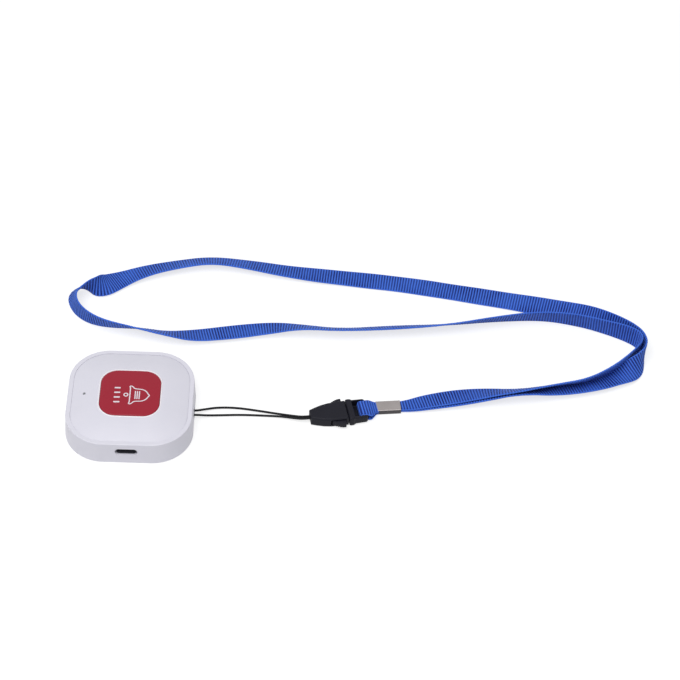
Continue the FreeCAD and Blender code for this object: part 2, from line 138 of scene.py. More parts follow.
bpy.context.scene.view_settings.view_transform = "Standard"
world = bpy.data.worlds.new("studio")
bpy.context.scene.world = world
world.use_nodes = True
nodes, links = world.node_tree.nodes, world.node_tree.links
ambient = nodes["Background"]
ambient.inputs["Color"].default_value = WORLD_TINT
ambient.inputs["Strength"].default_value = WORLD_LIGHT
backdrop = nodes.new("ShaderNodeBackground")
backdrop.inputs["Color"].default_value = WHITE
backdrop.inputs["Strength"].default_value = 1
light_or_show(nodes, links, ambient, backdrop, nodes["World Output"])
print("world light", WORLD_LIGHT)

# %% [markdown]
# One large soft lamp at the front left gives the top its brightness and leaves the right-hand
# wall a little darker. A small lamp would do the same with a hard shadow, which a product
# picture avoids.

# %% Lamp
KEY_AT = Vector((-0.2, -0.42, 1.25))
KEY_SIZE = 0.9
KEY_WATTS = 12.2

key_data = bpy.data.lights.new("softbox", "AREA")
key_data.shape = "SQUARE"
key_data.size = KEY_SIZE
key_data.energy = KEY_WATTS
key = bpy.data.objects.new("softbox", key_data)
key.location = KEY_AT
key.rotation_euler = (-KEY_AT).to_track_quat("-Z", "Y").to_euler()
bpy.context.scene.collection.objects.link(key)
print("lamp", round(KEY_AT.length, 2), "m away")

# %% [markdown]
# The floor is a plain sheet just under the object. It throws light back up as a pale card would.
# To the camera it shows a weaker grey with a glow added: the two make white, and where the
# object keeps light away, only the grey gets darker, so a faint shadow is left.

# %% Floor
FLOOR_SIZE = 6.0
FLOOR_DROP = 0.02 * MM
FLOOR_CARD = (0.8, 0.8, 0.8, 1)
FLOOR_ROUGHNESS = 0.9
FLOOR_SEEN = (0.4, 0.4, 0.4, 1)
FLOOR_GLOW = 0.72


def material_nodes(name):
    material = bpy.data.materials.new(name)
    material.use_nodes = True
    nodes = material.node_tree.nodes
    return material, nodes, material.node_tree.links, nodes["Principled BSDF"]


bm = bmesh.new()
bmesh.ops.create_grid(bm, x_segments=1, y_segments=1, size=FLOOR_SIZE / 2)
bmesh.ops.translate(bm, verts=bm.verts, vec=(0, 0, -FLOOR_DROP))
floor_mesh = bpy.data.meshes.new("floor")
bm.to_mesh(floor_mesh)
bm.free()
floor = bpy.data.objects.new("floor", floor_mesh)
bpy.context.scene.collection.objects.link(floor)
material, nodes, links, shader = material_nodes("white_floor")
shader.inputs["Base Color"].default_value = FLOOR_CARD
shader.inputs["Roughness"].default_value = FLOOR_ROUGHNESS
shader.inputs["Specular IOR Level"].default_value = 0
pale = nodes.new("ShaderNodeBsdfDiffuse")
pale.inputs["Color"].default_value = FLOOR_SEEN
glow = nodes.new("ShaderNodeEmission")
glow.inputs["Strength"].default_value = FLOOR_GLOW
both = nodes.new("ShaderNodeAddShader")
links.new(pale.outputs[0], both.inputs[0])
links.new(glow.outputs[0], both.inputs[1])
light_or_show(nodes, links, shader, both, nodes["Material Output"])
floor_mesh.materials.append(material)
print("floor", FLOOR_SIZE, "m wide")

# %% [markdown]
# Cords come before everything else, because they decide how far the model spreads. The neck band
# lies limp in one big loop and stands on its edge at both turns. A cloth simulation could drop
# it, but it would land another way whenever a number changes, so its route is given as a list of
# points. Each row gives a place, how far the band leans there in degrees and how wide it shows.
# The rows follow the construction's band and come closer to the real lay at the turns.

# %% Route of the band
BAND_W = 10.0
BAND_ROUTE = (
    (114.9, 7.94, 0.87, 0, 4.2),
    (122.0, 8.75, 0.87, 0, 5.8),
    (131.0, 10.8, 1.4, -8, 8.8),
    (144.0, 13.4, 1.8, -13, BAND_W),
    (158.0, 15.4, 2.5, -24, BAND_W),
    (171.5, 16.4, 4.0, -43, BAND_W),
    (189.0, 20.7, 2.0, -16, BAND_W),
    (208.0, 24.8, 1.9, -17, BAND_W),
    (219.0, 30.0, 2.2, -12, BAND_W),
    (227.2, 35.2, 4.7, 60, BAND_W),
    (230.9, 43.4, 5.3, 97, BAND_W),
    (229.7, 50.8, 5.3, 98, BAND_W),
    (223.6, 56.9, 5.2, 102, BAND_W),
    (213.0, 62.7, 4.6, 122, BAND_W),
    (197.0, 70.0, 2.3, 162, BAND_W),
    (175.0, 75.5, 1.2, 174, BAND_W),
    (149.0, 80.6, 0.7, 178, BAND_W),
    (122.0, 85.5, 0.5, 180, BAND_W),
    (94.0, 88.2, 0.7, 182, BAND_W),
    (69.0, 90.2, 1.5, 192, BAND_W),
    (49.0, 93.4, 2.4, 202, BAND_W),
    (31.0, 95.4, 2.9, 208, BAND_W),
    (15.0, 91.8, 2.7, 204, BAND_W),
    (1.0, 87.6, 2.3, 198, BAND_W),
    (-11.0, 82.0, 1.2, 181, BAND_W),
    (-19.1, 73.5, 5.0, 132, BAND_W),
    (-26.6, 73.4, 5.8, 54, BAND_W),
    (-31.0, 70.4, 4.9, 48, BAND_W),
    (-31.2, 64.5, 5.2, 72, BAND_W),
    (-28.6, 58.3, 5.45, 88, BAND_W),
    (-23.1, 53.1, 5.4, 100, BAND_W),
    (-14.7, 49.8, 5.1, 115, BAND_W),
    (0.0, 48.6, 4.2, 134, BAND_W),
    (12.5, 46.2, 3.7, 142, BAND_W),
    (25.0, 46.8, 2.0, 165, BAND_W),
    (42.0, 50.3, 1.5, 170, BAND_W),
    (60.0, 53.5, 1.9, 165, BAND_W),
    (74.0, 53.2, 3.6, 144, BAND_W),
    (92.0, 51.6, 4.1, 137, BAND_W),
    (116.0, 54.5, 3.7, 142, BAND_W),
    (141.0, 57.0, 4.1, 133, BAND_W),
    (164.0, 61.4, 4.7, 120, BAND_W),
    (185.0, 64.0, 5.1, 109, BAND_W),
    (202.0, 61.5, 5.3, 101, BAND_W),
    (214.5, 57.4, 5.3, 95, BAND_W),
    (223.0, 54.2, 5.3, 87, BAND_W),
    (228.8, 50.2, 5.3, 82, BAND_W),
    (228.9, 45.1, 5.3, 89, BAND_W),
    (222.8, 38.3, 5.5, 80, BAND_W),
    (213.4, 30.1, 6.0, 68, BAND_W),
    (201.5, 23.2, 5.9, 58, BAND_W),
    (189.0, 20.9, 5.5, 52, BAND_W),
    (171.0, 16.2, 5.6, 44, BAND_W),
    (157.0, 16.2, 3.5, 24, BAND_W),
    (143.0, 13.9, 2.9, 13, BAND_W),
    (130.5, 11.1, 2.4, 8, 8.8),
    (121.6, 8.7, 1.76, 0, 5.8),
    (114.5, 7.9, 1.76, 0, 4.2),
)
print("band route", len(BAND_ROUTE), "points")

# %% [markdown]
# A chain of straight pieces would show its corners, so a curve draws one smooth line past the
# points. Order 3 keeps it close to them. Lean and width ride on a second curve with the same
# number of points, so that both curves give one sample for each step.

# %% Smooth lines
BAND_SAMPLES = 64


def smooth_curve(name, points, samples):
    curve = bpy.data.curves.new(name, "CURVE")
    curve.dimensions = "3D"
    curve.resolution_u = samples
    spline = curve.splines.new("NURBS")
    spline.points.add(len(points) - 1)
    for point, place in zip(spline.points, points):
        point.co = (*place, 1)
    spline.order_u = 3
    spline.use_endpoint_u = True
    return bpy.data.objects.new(name, curve)


def samples_of(name, points, samples):
    line = smooth_curve(name, points, samples)
    mesh = bpy.data.meshes.new_from_object(line)
    places = [v.co.copy() for v in mesh.vertices]
    bpy.data.objects.remove(line)
    bpy.data.meshes.remove(mesh)
    return places


def length_of(line):
    return sum((b - a).length for a, b in zip(line, line[1:]))


band_line = samples_of("band_line", [mm(*p[:3]) for p in BAND_ROUTE], BAND_SAMPLES)
band_twist = samples_of("band_twist", [(p[3], p[4], 0) for p in BAND_ROUTE], BAND_SAMPLES)
print("band", len(band_line), "samples", round(length_of(band_line) / MM, 1), "mm")

# %% [markdown]
# Grosgrain webbing is woven with thick cross threads, so both faces show a rib every 1.25 mm. A
# bump map can't give the scalloped outline or the light that catches each rib when the band
# leans, so the ribs are real, with five steps for each. Every step needs a frame: its place, the
# direction across the band and the direction out of its face.

# %% Frames along a line
RIB_PITCH = 1.25 * MM
STEPS_PER_RIB = 5
UP = Vector((0, 0, 1))
# The heading runs from a few samples before a step to a few after it, which evens it out
HEADING_BACK = 2
HEADING_ON = 3


def frames_along(line, extras):
    # Even steps along the line, each with its place, heading and what rides with it
    step = RIB_PITCH / STEPS_PER_RIB
    last = len(line) - 1
    frames = []
    gone = 0.0
    target = 0.0
    for i in range(last):
        run = (line[i + 1] - line[i]).length
        way = line[min(i + HEADING_ON, last)] - line[max(i - HEADING_BACK, 0)]
        while target <= gone + run:
            share = (target - gone) / run
            place = line[i].lerp(line[i + 1], share)
            frames.append((place, way.normalized(), extras[i].lerp(extras[i + 1], share)))
            target += step
        gone += run
    return frames


def leaning_frames(line, twist):
    # Place, direction across, direction out and width, for a band that leans its left edge up
    frames = []
    for place, way, (lean, width, _) in frames_along(line, twist):
        left = UP.cross(way).normalized()
        upright = way.cross(left)
        a = math.radians(lean)
        across = left * math.cos(a) + upright * math.sin(a)
        out = upright * math.cos(a) - left * math.sin(a)
        frames.append((place, across, out, width * MM))
    return frames


band_frames = leaning_frames(band_line, band_twist)
print("band", len(band_frames), "steps")

# %% [markdown]
# Cut across, the webbing shows a ribbed middle between two plain edges, the selvedges. Each
# point of the section is a distance across the band and a distance out from the middle of its
# thickness. The points of the middle rise with the rib, and those of the selvedges don't.

# %% Section of the webbing
EDGE = 0.62 * MM
RIB_HEIGHT = 0.17 * MM
BODY_HALF = 0.27 * MM
SELVEDGE_HALF = 0.33 * MM
FACE_POINTS = (-1, -0.5, 0, 0.5, 1)
# How far in from the edge each point of a selvedge lies, and its half thickness
SELVEDGE_POINTS = (
    (0.1 * MM, SELVEDGE_HALF * 0.75),
    (EDGE * 0.45, SELVEDGE_HALF),
    (EDGE * 0.85, BODY_HALF * 0.8),
)


def section(width, rib, flutter):
    # Closed loop of (across, out) for one step; rib runs from 0 in a groove to 1 on a crest
    half = width / 2 + flutter
    inner = half - EDGE
    crest = BODY_HALF + RIB_HEIGHT * rib
    near = [(half - inset, out) for inset, out in SELVEDGE_POINTS]
    middle = [(-share * inner, crest) for share in FACE_POINTS]
    far = [(-across, out) for across, out in reversed(near)]
    face = near + middle + far
    return [(half, 0)] + face + [(-half, 0)] + [(-across, -out) for across, out in face]


section_points = len(section(BAND_W * MM, 0, 0))
print("section", section_points, "points")

# %% [markdown]
# The mesh starts as one flat grid: its length follows the line, and its width is rolled up into
# the closed section, one row of points after another. Woven yarn is never quite even, so slow
# waves make some ribs fuller and let the edges wander. The grid's own steps are kept as a UV map
# for the weave.

# %% Webbing mesh
RIB_ROUNDNESS = 0.7
RIB_MEAN = 0.6
RIB_WAVE = 0.18
RIB_WAVE_SPEEDS = (0.37, 0.113)
EDGE_SCALLOP = 0.07 * MM
EDGE_WANDER = 0.05 * MM
EDGE_WANDER_SPEED = 0.061
WELD = 0.002 * MM


def finished(name, bm, sharp_degrees=40):
    mesh = bpy.data.meshes.new(name)
    bm.to_mesh(mesh)
    bm.free()
    mesh.shade_smooth()
    if sharp_degrees:
        mesh.set_sharp_from_angle(angle=math.radians(sharp_degrees))
    piece = bpy.data.objects.new(name, mesh)
    bpy.context.scene.collection.objects.link(piece)
    print(name, len(mesh.polygons), "faces")
    return piece


def rib_and_flutter(i):
    # How high the rib stands at one step, and how much the band's edge bulges there
    phase = (i % STEPS_PER_RIB) / STEPS_PER_RIB
    rib = math.sin(math.pi * phase) ** RIB_ROUNDNESS
    slow, slower = RIB_WAVE_SPEEDS
    rib *= 1 + RIB_WAVE * math.sin(i * slow) * math.sin(i * slower)
    flutter = EDGE_SCALLOP * (rib - RIB_MEAN) + EDGE_WANDER * math.sin(i * EDGE_WANDER_SPEED)
    return rib, flutter


def webbing(name, frames):
    bm = bmesh.new()
    uv = bm.loops.layers.uv.new("weave")
    steps = len(frames) - 1
    bmesh.ops.create_grid(bm, x_segments=steps, y_segments=section_points, size=0.5)
    bm.verts.ensure_lookup_table()
    for v in bm.verts:
        v.co.x = round((v.co.x + 0.5) * steps)
        v.co.y = round((v.co.y + 0.5) * section_points)
    for face in bm.faces:
        for loop in face.loops:
            step, point, _ = loop.vert.co
            loop[uv].uv = (step / STEPS_PER_RIB, point / section_points)
    loops = []
    for i, (place, across, out, width) in enumerate(frames):
        ring = section(width, *rib_and_flutter(i))
        loops.append([place + across * a + out * b for a, b in ring])
    for v in bm.verts:
        v.co = loops[int(v.co.x)][int(v.co.y) % section_points]
    bmesh.ops.remove_doubles(bm, verts=bm.verts, dist=WELD)
    ends = [e for e in bm.edges if e.is_boundary]
    bmesh.ops.holes_fill(bm, edges=ends, sides=0)
    bmesh.ops.recalc_face_normals(bm, faces=bm.faces)
    return finished(name, bm)


band = webbing("neck_webbing", band_frames)
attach(band, "lanyard")
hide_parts("neck_band")

# %% [markdown]
# The string is one loop: out of the buckle's nose, round the bar in the case and back into the
# nose. A curve with a round bevel is all that a smooth cord one millimetre thick needs. It is
# turned into a mesh at once, so that its box can be measured like any other piece.

# %% String
STRING_D = 1.0
STRING_SAMPLES = 12
STRING_ROUTE = (
    (82.20, 0.70, 2.6),
    (76.14, -0.59, 2.6),
    (71.0, 0.6, 1.9),
    (65.0, 2.2, 1.0),
    (55.5, 4.1, 0.6),
    (46.5, 5.4, 0.6),
    (38.0, 5.2, 0.7),
    (32.0, 3.0, 1.6),
    (28.4, 1.25, 2.5),
    (25.0, 1.45, 2.5),
    (25.0, -1.45, 2.5),
    (28.6, -1.15, 2.5),
    (33.5, -0.4, 1.5),
    (40.0, 0.8, 0.6),
    (49.0, 1.4, 0.6),
    (59.0, 1.3, 0.6),
    (66.5, 0.7, 1.1),
    (72.0, -0.8, 1.9),
    (76.37, -1.69, 2.6),
    (82.44, -0.40, 2.6),
)


def round_cord(name, places, thickness, samples):
    line = smooth_curve(name + "_line", places, samples)
    line.data.bevel_depth = thickness / 2
    line.data.bevel_resolution = 4
    line.data.use_fill_caps = True
    mesh = bpy.data.meshes.new_from_object(line)
    mesh.name = name
    bpy.data.objects.remove(line)
    mesh.shade_smooth()
    cord = bpy.data.objects.new(name, mesh)
    bpy.context.scene.collection.objects.link(cord)
    print(name, len(mesh.polygons), "faces")
    return cord


string_places = [mm(*p) for p in STRING_ROUTE]
string = round_cord("string_loop", string_places, STRING_D * MM, STRING_SAMPLES)
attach(string, "pendant")
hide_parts("pendant_string")
samples_of("string_line", string_places, STRING_SAMPLES)

# %% [markdown]
# A short strap of the same webbing leaves the clip over the plug's bar, goes round it and comes
# back under it. Its width lies level all the way, so one direction across serves every step, and
# the webbing function that made the band makes the strap as well.

# %% Strap loop
BUCKLE_AT = mm(78.8, -0.6, 0)
BUCKLE_TURN = math.radians(12)
CLIP_AT = mm(108.0, 7.22, 0)
CLIP_TURN = math.radians(6)
BAR_U = 23.75
BAR_Z = 2.6
STRAP_R = 1.55
STRAP_GAP = 0.9
STRAP_SAMPLES = 24
# Each row gives a distance along, a height and a width. The distance runs along the clip from the
# clip's own end in the first list, and along the buckle in the second.
STRAP_IN_CLIP = ((4.5, 1.75, 4.7), (0.4, 1.85, 4.8))
STRAP_AT_BAR = (
    (27.2, 3.4, 9.8),
    (25.9, 4.0, 8.9),
    (BAR_U + 0.3, BAR_Z + STRAP_R + 0.1, 8.3),
    (BAR_U - STRAP_R, BAR_Z + STRAP_R, 8.2),
    (BAR_U - STRAP_R, BAR_Z - STRAP_R, 8.2),
    (BAR_U + 0.3, BAR_Z - STRAP_R, 8.3),
    (25.9, 1.0, 8.9),
    (27.2, 1.1, 9.4),
)


def pointing(turn):
    return Vector((math.cos(turn), math.sin(turn), 0))


def strap_line():
    clip_way = pointing(CLIP_TURN)
    way = pointing(BUCKLE_TURN)
    over = [(CLIP_AT + clip_way * (u * MM) + UP * (z * MM), w) for u, z, w in STRAP_IN_CLIP]
    bar = [(BUCKLE_AT + way * (u * MM) + UP * (z * MM), w) for u, z, w in STRAP_AT_BAR]
    under = [(place - UP * STRAP_GAP * MM, w) for place, w in reversed(over)]
    return over + bar + under


def level_frames(line, widths, across):
    return [
        (place, across, across.cross(way).normalized() * -1, width * MM)
        for place, way, (width, _, _) in frames_along(line, widths)
    ]


strap_rows = strap_line()
strap_samples = samples_of("strap_line", [place for place, _ in strap_rows], STRAP_SAMPLES)
strap_widths = samples_of("strap_widths", [(w, 0, 0) for _, w in strap_rows], STRAP_SAMPLES)
strap_across = UP.cross(pointing(BUCKLE_TURN))
strap = webbing("strap_loop", level_frames(strap_samples, strap_widths, strap_across))
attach(strap, "lanyard")
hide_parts("end_loop")

# %% [markdown]
# Moulded parts have no truly sharp edges, and that is what catches the light. A bevel would have
# to be set edge by edge. For the buckle and the clip, a copy of each solid is rebuilt on a fine
# grid and smoothed a little instead, which rounds every edge by the same amount. Small
# additions, such as the grip on the latches, are boxes that join the copy first, so that the
# rebuilding melts them in.

# %% Moulded pieces
SOLID_WELD = 0.001 * MM
SMOOTHING = 0.5
KEPT_FACES = 0.35
BUCKLE_GRID = 0.13
BUCKLE_ROUNDS = 6


def on_buckle(u, v, z):
    return BUCKLE_AT + Matrix.Rotation(BUCKLE_TURN, 3, "Z") @ (Vector((u, v, z)) * MM)


def add_box(bm, low, high):
    # A box given by two corners, in millimetres along the buckle, across it and up
    middle = [(a + b) / 2 for a, b in zip(low, high)]
    made = bmesh.ops.create_cube(bm, size=1)["verts"]
    turned = Matrix.Rotation(BUCKLE_TURN, 3, "Z")
    bmesh.ops.scale(bm, verts=made, vec=[(b - a) * MM for a, b in zip(low, high)])
    bmesh.ops.rotate(bm, verts=made, cent=(0, 0, 0), matrix=turned)
    bmesh.ops.translate(bm, verts=made, vec=on_buckle(*middle))


def moulded(node, name, grid, rounds, boxes=()):
    bm = bmesh.new()
    bm.from_mesh(frame["nodes"][node].data)
    bmesh.ops.remove_doubles(bm, verts=bm.verts, dist=SOLID_WELD)
    for low, high in boxes:
        add_box(bm, low, high)
    rough = finished(name + "_rough", bm, 0)
    remesh = rough.modifiers.new("grid", "REMESH")
    remesh.mode = "VOXEL"
    remesh.voxel_size = grid * MM
    smooth = rough.modifiers.new("smooth", "SMOOTH")
    smooth.factor = SMOOTHING
    smooth.iterations = rounds
    fewer = rough.modifiers.new("fewer", "DECIMATE")
    fewer.ratio = KEPT_FACES
    bpy.context.view_layer.update()
    evaluated = rough.evaluated_get(bpy.context.evaluated_depsgraph_get())
    mesh = bpy.data.meshes.new_from_object(evaluated)
    bpy.data.objects.remove(rough)
    mesh.shade_smooth()
    mesh.materials.clear()
    piece = bpy.data.objects.new(name, mesh)
    bpy.context.scene.collection.objects.link(piece)
    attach(piece, frame["nodes"][node]["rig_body"])
    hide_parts(node)
    print(name, len(mesh.polygons), "faces")
    return piece


moulded("buckle_socket", "socket_shell", BUCKLE_GRID, BUCKLE_ROUNDS)

# %% [markdown]
# The plug has a slot behind its crossbar with a dark floor low down in it, and each latch arm
# has a grip for a finger: low ridges that climb like stairs, away from the arm's tip. All of
# these are plain boxes before the grid rounds them.

# %% Plug, latches and clip
PLUG_FLOOR = ((19.2, -4.7, 0.6), (22.8, 4.7, 1.1))
# Each ridge starts at a distance along the buckle and stands out as far as its second number
GRIP = ((9.6, 5.6), (10.5, 6.15), (11.4, 6.65), (12.3, 7.05), (13.2, 7.3), (14.1, 7.35))
GRIP_ROOT = 4.4
RIDGE_L = 0.92
RIDGE_Z = (1.4, 4.05)
LATCH_GRID = 0.11
CLIP_GRID = 0.1
FINE_ROUNDS = 4


def ridges(side):
    boxes = []
    for u, reach in GRIP:
        low, high = sorted((side * GRIP_ROOT, side * reach))
        boxes.append(((u, low, RIDGE_Z[0]), (u + RIDGE_L, high, RIDGE_Z[1])))
    return boxes


moulded("buckle_plug", "plug_frame", BUCKLE_GRID, BUCKLE_ROUNDS, [PLUG_FLOOR])
for side, word in ((-1, "front"), (1, "back")):
    soft_name = "latch_" + word + "_soft"
    moulded("latch_arm_" + word, soft_name, LATCH_GRID, FINE_ROUNDS, ridges(side))
clip = moulded("clip", "clip_sleeve", CLIP_GRID, FINE_ROUNDS)

# %% [markdown]
# Two rounded beads finish the cover: one lines the opening for the button, the other follows the
# cover's outer edge and leaves only a hair of a gap to the rim. Each is a stack of rounded
# squares: a circle of four points is a square, a bevel on its corners rounds it, and bridged
# rings make the surface. Each row of a profile gives half the width of a square and its height.

# %% Beads on the cover
LIP_PROFILE = (
    (13.22, 13.6),
    (13.22, 14.2),
    (13.3, 14.3),
    (13.5, 14.34),
    (13.7, 14.3),
    (13.85, 14.13),
    (13.85, 13.6),
)
EDGE_PROFILE = (
    (25.0, 11.1),
    (25.44, 11.1),
    (25.45, 11.44),
    (25.38, 11.51),
    (25.2, 11.55),
    (25.0, 11.5),
)
# Half of the straight part between two corners
LIP_STRAIGHT = 5.8
EDGE_STRAIGHT = 9.9
CORNER_STEPS = 12
BEAD_SHARP = 70


def bead(name, profile, straight):
    bm = bmesh.new()
    upright = Matrix.Rotation(math.pi / 4, 3, "Z")
    rings = []
    known = set()
    for half, z in profile:
        radius = half * math.sqrt(2) * MM
        corners = bmesh.ops.create_circle(bm, segments=4, radius=radius)["verts"]
        bmesh.ops.rotate(bm, verts=corners, cent=(0, 0, 0), matrix=upright)
        bmesh.ops.translate(bm, verts=corners, vec=mm(0, 0, z))
        bmesh.ops.bevel(
            bm, geom=corners, offset=(half - straight) * MM, offset_type="OFFSET",
            affect="VERTICES", segments=CORNER_STEPS, profile=0.5, material=-1,
        )
        rings.append([e for e in bm.edges if e not in known])
        known.update(rings[-1])
    for a, b in zip(rings, rings[1:] + rings[:1]):
        bmesh.ops.bridge_loops(bm, edges=a + b)
    bmesh.ops.recalc_face_normals(bm, faces=bm.faces)
    piece = finished(name, bm, BEAD_SHARP)
    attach(piece, "pendant")


bead("opening_lip", LIP_PROFILE, LIP_STRAIGHT)
bead("cover_edge", EDGE_PROFILE, EDGE_STRAIGHT)

# %% [markdown]
# The print on the button is a thin layer of white ink. A line of ink is a strip along a path,
# three points wide. A flat print would sink into the button or float above it, so every point is
# dropped onto the button's crown, which is part of a large sphere.

# %% Lines of ink
CROWN_R = 200.0
BUTTON_TOP = 15.0
INK_LIFT = 0.03
INK_W = 0.5
INK_T = 0.04
INK_SHARP = 50
PRINT_Y = -1.7


def on_crown(x, y):
    y += PRINT_Y
    dome = math.sqrt(CROWN_R**2 - x * x - y * y)
    return mm(x, y, BUTTON_TOP - CROWN_R + dome + INK_LIFT)


def ink_line(bm, path, width, closed):
    count = len(path)
    rails = []
    for i, (x, y) in enumerate(path):
        before = path[(i - 1) % count if closed else max(i - 1, 0)]
        after = path[(i + 1) % count if closed else min(i + 1, count - 1)]
        way = (Vector(after) - Vector(before)).normalized()
        side = Vector((-way.y, way.x)) * (width / 2)
        spots = [on_crown(x + k * side.x, y + k * side.y) for k in (-1, 0, 1)]
        rails.append([bm.verts.new(spot) for spot in spots])
    for a, b in zip(rails, rails[1:] + rails[:1] if closed else rails[1:]):
        for k in (0, 1):
            bm.faces.new((a[k], b[k], b[k + 1], a[k + 1]))


def flat_path(points, samples):
    flat = [(x, y, 0) for x, y in points]
    return [(p.x, p.y) for p in samples_of("ink_path", flat, samples)]


# %% [markdown]
# The print itself is an outlined bell that lies on its side, its clapper, three short bars
# inside it and four plain marks beside it. Only half of the bell's outline is given, and the
# other half is its mirror image, so the bell can't come out crooked.

# %% Print on the button
BELL_HALF = (
    (0.0, 0.0),
    (0.0, 2.4),
    (0.0, 4.2),
    (-0.4, 4.8),
    (0.2, 5.3),
    (1.1, 4.7),
    (1.7, 3.8),
    (3.0, 3.5),
    (5.4, 3.4),
    (7.0, 2.4),
    (7.8, 1.0),
    (8.5, 0.0),
)
BELL_SAMPLES = 10
CLAPPER_AT = -1.75
CLAPPER_R = 0.85
CLAPPER_STEPS = 32
BARS_AT = (2.3, 3.2, 4.1)
BAR_FROM = -2.3
BAR_STEP = 0.46
BAR_POINTS = 11
MARKS_AT = (-4.1, -1.4, 1.3, 4.0)
MARK_X = (-6.9, -4.3)
MARK_W = 0.8
MARK_STEPS = 6

bm = bmesh.new()
bell = flat_path(BELL_HALF, BELL_SAMPLES)
ink_line(bm, bell + [(x, -y) for x, y in reversed(bell[1:-1])], INK_W, True)
turns = [math.tau * i / CLAPPER_STEPS for i in range(CLAPPER_STEPS)]
clapper = [(CLAPPER_AT + CLAPPER_R * math.cos(a), CLAPPER_R * math.sin(a)) for a in turns]
ink_line(bm, clapper, INK_W, True)
for x in BARS_AT:
    ink_line(bm, [(x, BAR_FROM + BAR_STEP * i) for i in range(BAR_POINTS)], INK_W, False)
for y in MARKS_AT:
    x0, x1 = MARK_X
    mark = [(x0 + (x1 - x0) * i / MARK_STEPS, y) for i in range(MARK_STEPS + 1)]
    ink_line(bm, mark, MARK_W, False)
bmesh.ops.recalc_face_normals(bm, faces=bm.faces)
bmesh.ops.solidify(bm, geom=bm.faces[:], thickness=-INK_T * MM)
ink = finished("button_print", bm, INK_SHARP)
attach(ink, frame["nodes"]["call_button"]["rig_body"])

# %% [markdown]
# A finish is a small function that returns a material. Colours are written as they look on a
# screen and are turned to linear light here, which is what a shader wants. The helpers below
# each add one kind of node, so that the finishes read like a recipe.

# %% Helpers for finishes
# Noise seldom leaves this range, so it is stretched to the limits that a finish asks for
NOISE_RANGE = (0.3, 0.7)


def screen(r, g, b):
    parts = [c / 255 for c in (r, g, b)]
    return [c / 12.92 if c <= 0.04045 else ((c + 0.055) / 1.055) ** 2.4 for c in parts] + [1]


def noise_from(nodes, links, vector, size, detail):
    noise = nodes.new("ShaderNodeTexNoise")
    noise.inputs["Scale"].default_value = 1 / size
    noise.inputs["Detail"].default_value = detail
    links.new(vector, noise.inputs["Vector"])
    return noise.outputs["Fac"]


def ranged(nodes, links, value, wanted, given=NOISE_RANGE, shape="LINEAR"):
    scale = nodes.new("ShaderNodeMapRange")
    scale.interpolation_type = shape
    for label, (low, high) in (("From", given), ("To", wanted)):
        scale.inputs[label + " Min"].default_value = low
        scale.inputs[label + " Max"].default_value = high
    links.new(value, scale.inputs["Value"])
    return scale.outputs["Result"]


def blended(nodes, links, fac, first, second):
    mix = nodes.new("ShaderNodeMix")
    mix.data_type = "RGBA"
    links.new(fac, mix.inputs["Factor"])
    for label, value in (("A", first), ("B", second)):
        target = [s for s in mix.inputs if s.name == label and s.type == "RGBA"][0]
        if isinstance(value, (list, tuple)):
            target.default_value = value
        else:
            links.new(value, target)
    return [s for s in mix.outputs if s.type == "RGBA"][0]


def bumped(nodes, links, shader, height, depth):
    bump = nodes.new("ShaderNodeBump")
    bump.inputs["Strength"].default_value = 1
    bump.inputs["Distance"].default_value = depth
    links.new(height, bump.inputs["Height"])
    links.new(bump.outputs["Normal"], shader.inputs["Normal"])


# %% [markdown]
# Moulded plastic and plated metal differ in a few numbers only, so one function serves both. A
# single flat colour looks like paint on a screen. Every finish therefore drifts slowly between
# two colours, varies in roughness and has a fine bump, all read from Object coordinates, so that
# the pattern stays on the piece.

# %% A moulded or plated surface
ROUGHNESS_DRIFT = 0.05


def surface(
    name, color, other, roughness, grain=0.25 * MM, bump=0.006 * MM, metallic=0.0,
    patch=9 * MM, gloss=0.5,
):
    material, nodes, links, shader = material_nodes(name)
    place = nodes.new("ShaderNodeTexCoord").outputs["Object"]
    drift = noise_from(nodes, links, place, patch, 3)
    paint = blended(nodes, links, drift, screen(*color), screen(*other))
    links.new(paint, shader.inputs["Base Color"])
    fine = noise_from(nodes, links, place, grain, 2)
    limits = (roughness - ROUGHNESS_DRIFT, roughness + ROUGHNESS_DRIFT)
    links.new(ranged(nodes, links, fine, limits), shader.inputs["Roughness"])
    shader.inputs["Metallic"].default_value = metallic
    shader.inputs["Specular IOR Level"].default_value = gloss
    bumped(nodes, links, shader, fine, bump)
    return material


def dress(material, *names):
    for name in names:
        mesh = (bpy.data.objects.get(name) or frame["nodes"][name]).data
        mesh.materials.clear()
        mesh.materials.append(material)
    print(material.name, "on", len(names), "pieces")


# %% [markdown]
# The case is white with a trace of violet, the button a deep satin red, and the buckle a dull
# black with a coarse grain. Pictures wrapped round the pieces would blur close up, while these
# finishes stay fine at any distance. The lip round the button is painted a little whiter than the
# cover, a painted highlight for the light that catches its rounded edge, which sets the opening
# off.

# %% Finishes of the case, the button and the string
case_white = surface("case_white", (228, 226, 236), (222, 221, 232), 0.42)
# Whiter than the cover: a painted highlight for light catching the lip's rounded edge
lip_painted_highlight = surface("lip_painted_highlight", (250, 246, 251), (246, 243, 249), 0.4)
button_red = surface("button_red", (160, 22, 46), (153, 18, 42), 0.38, gloss=0.35)
ink_white = surface("ink_white", (240, 232, 238), (226, 214, 222), 0.5, gloss=0.3)
buckle_black = surface(
    "buckle_black", (30, 30, 40), (22, 22, 30), 0.45, grain=0.3 * MM, bump=0.012 * MM, gloss=0.15,
)
string_black = surface("string_black", (20, 20, 24), (12, 12, 15), 0.6, gloss=0.2)
dress(case_white, "bottom_case", "top_cover", "cover_edge")
dress(lip_painted_highlight, "opening_lip")
dress(button_red, "call_button")
dress(ink_white, "button_print")
dress(buckle_black, "socket_shell", "plug_frame", "latch_front_soft", "latch_back_soft")
dress(string_black, "string_loop")

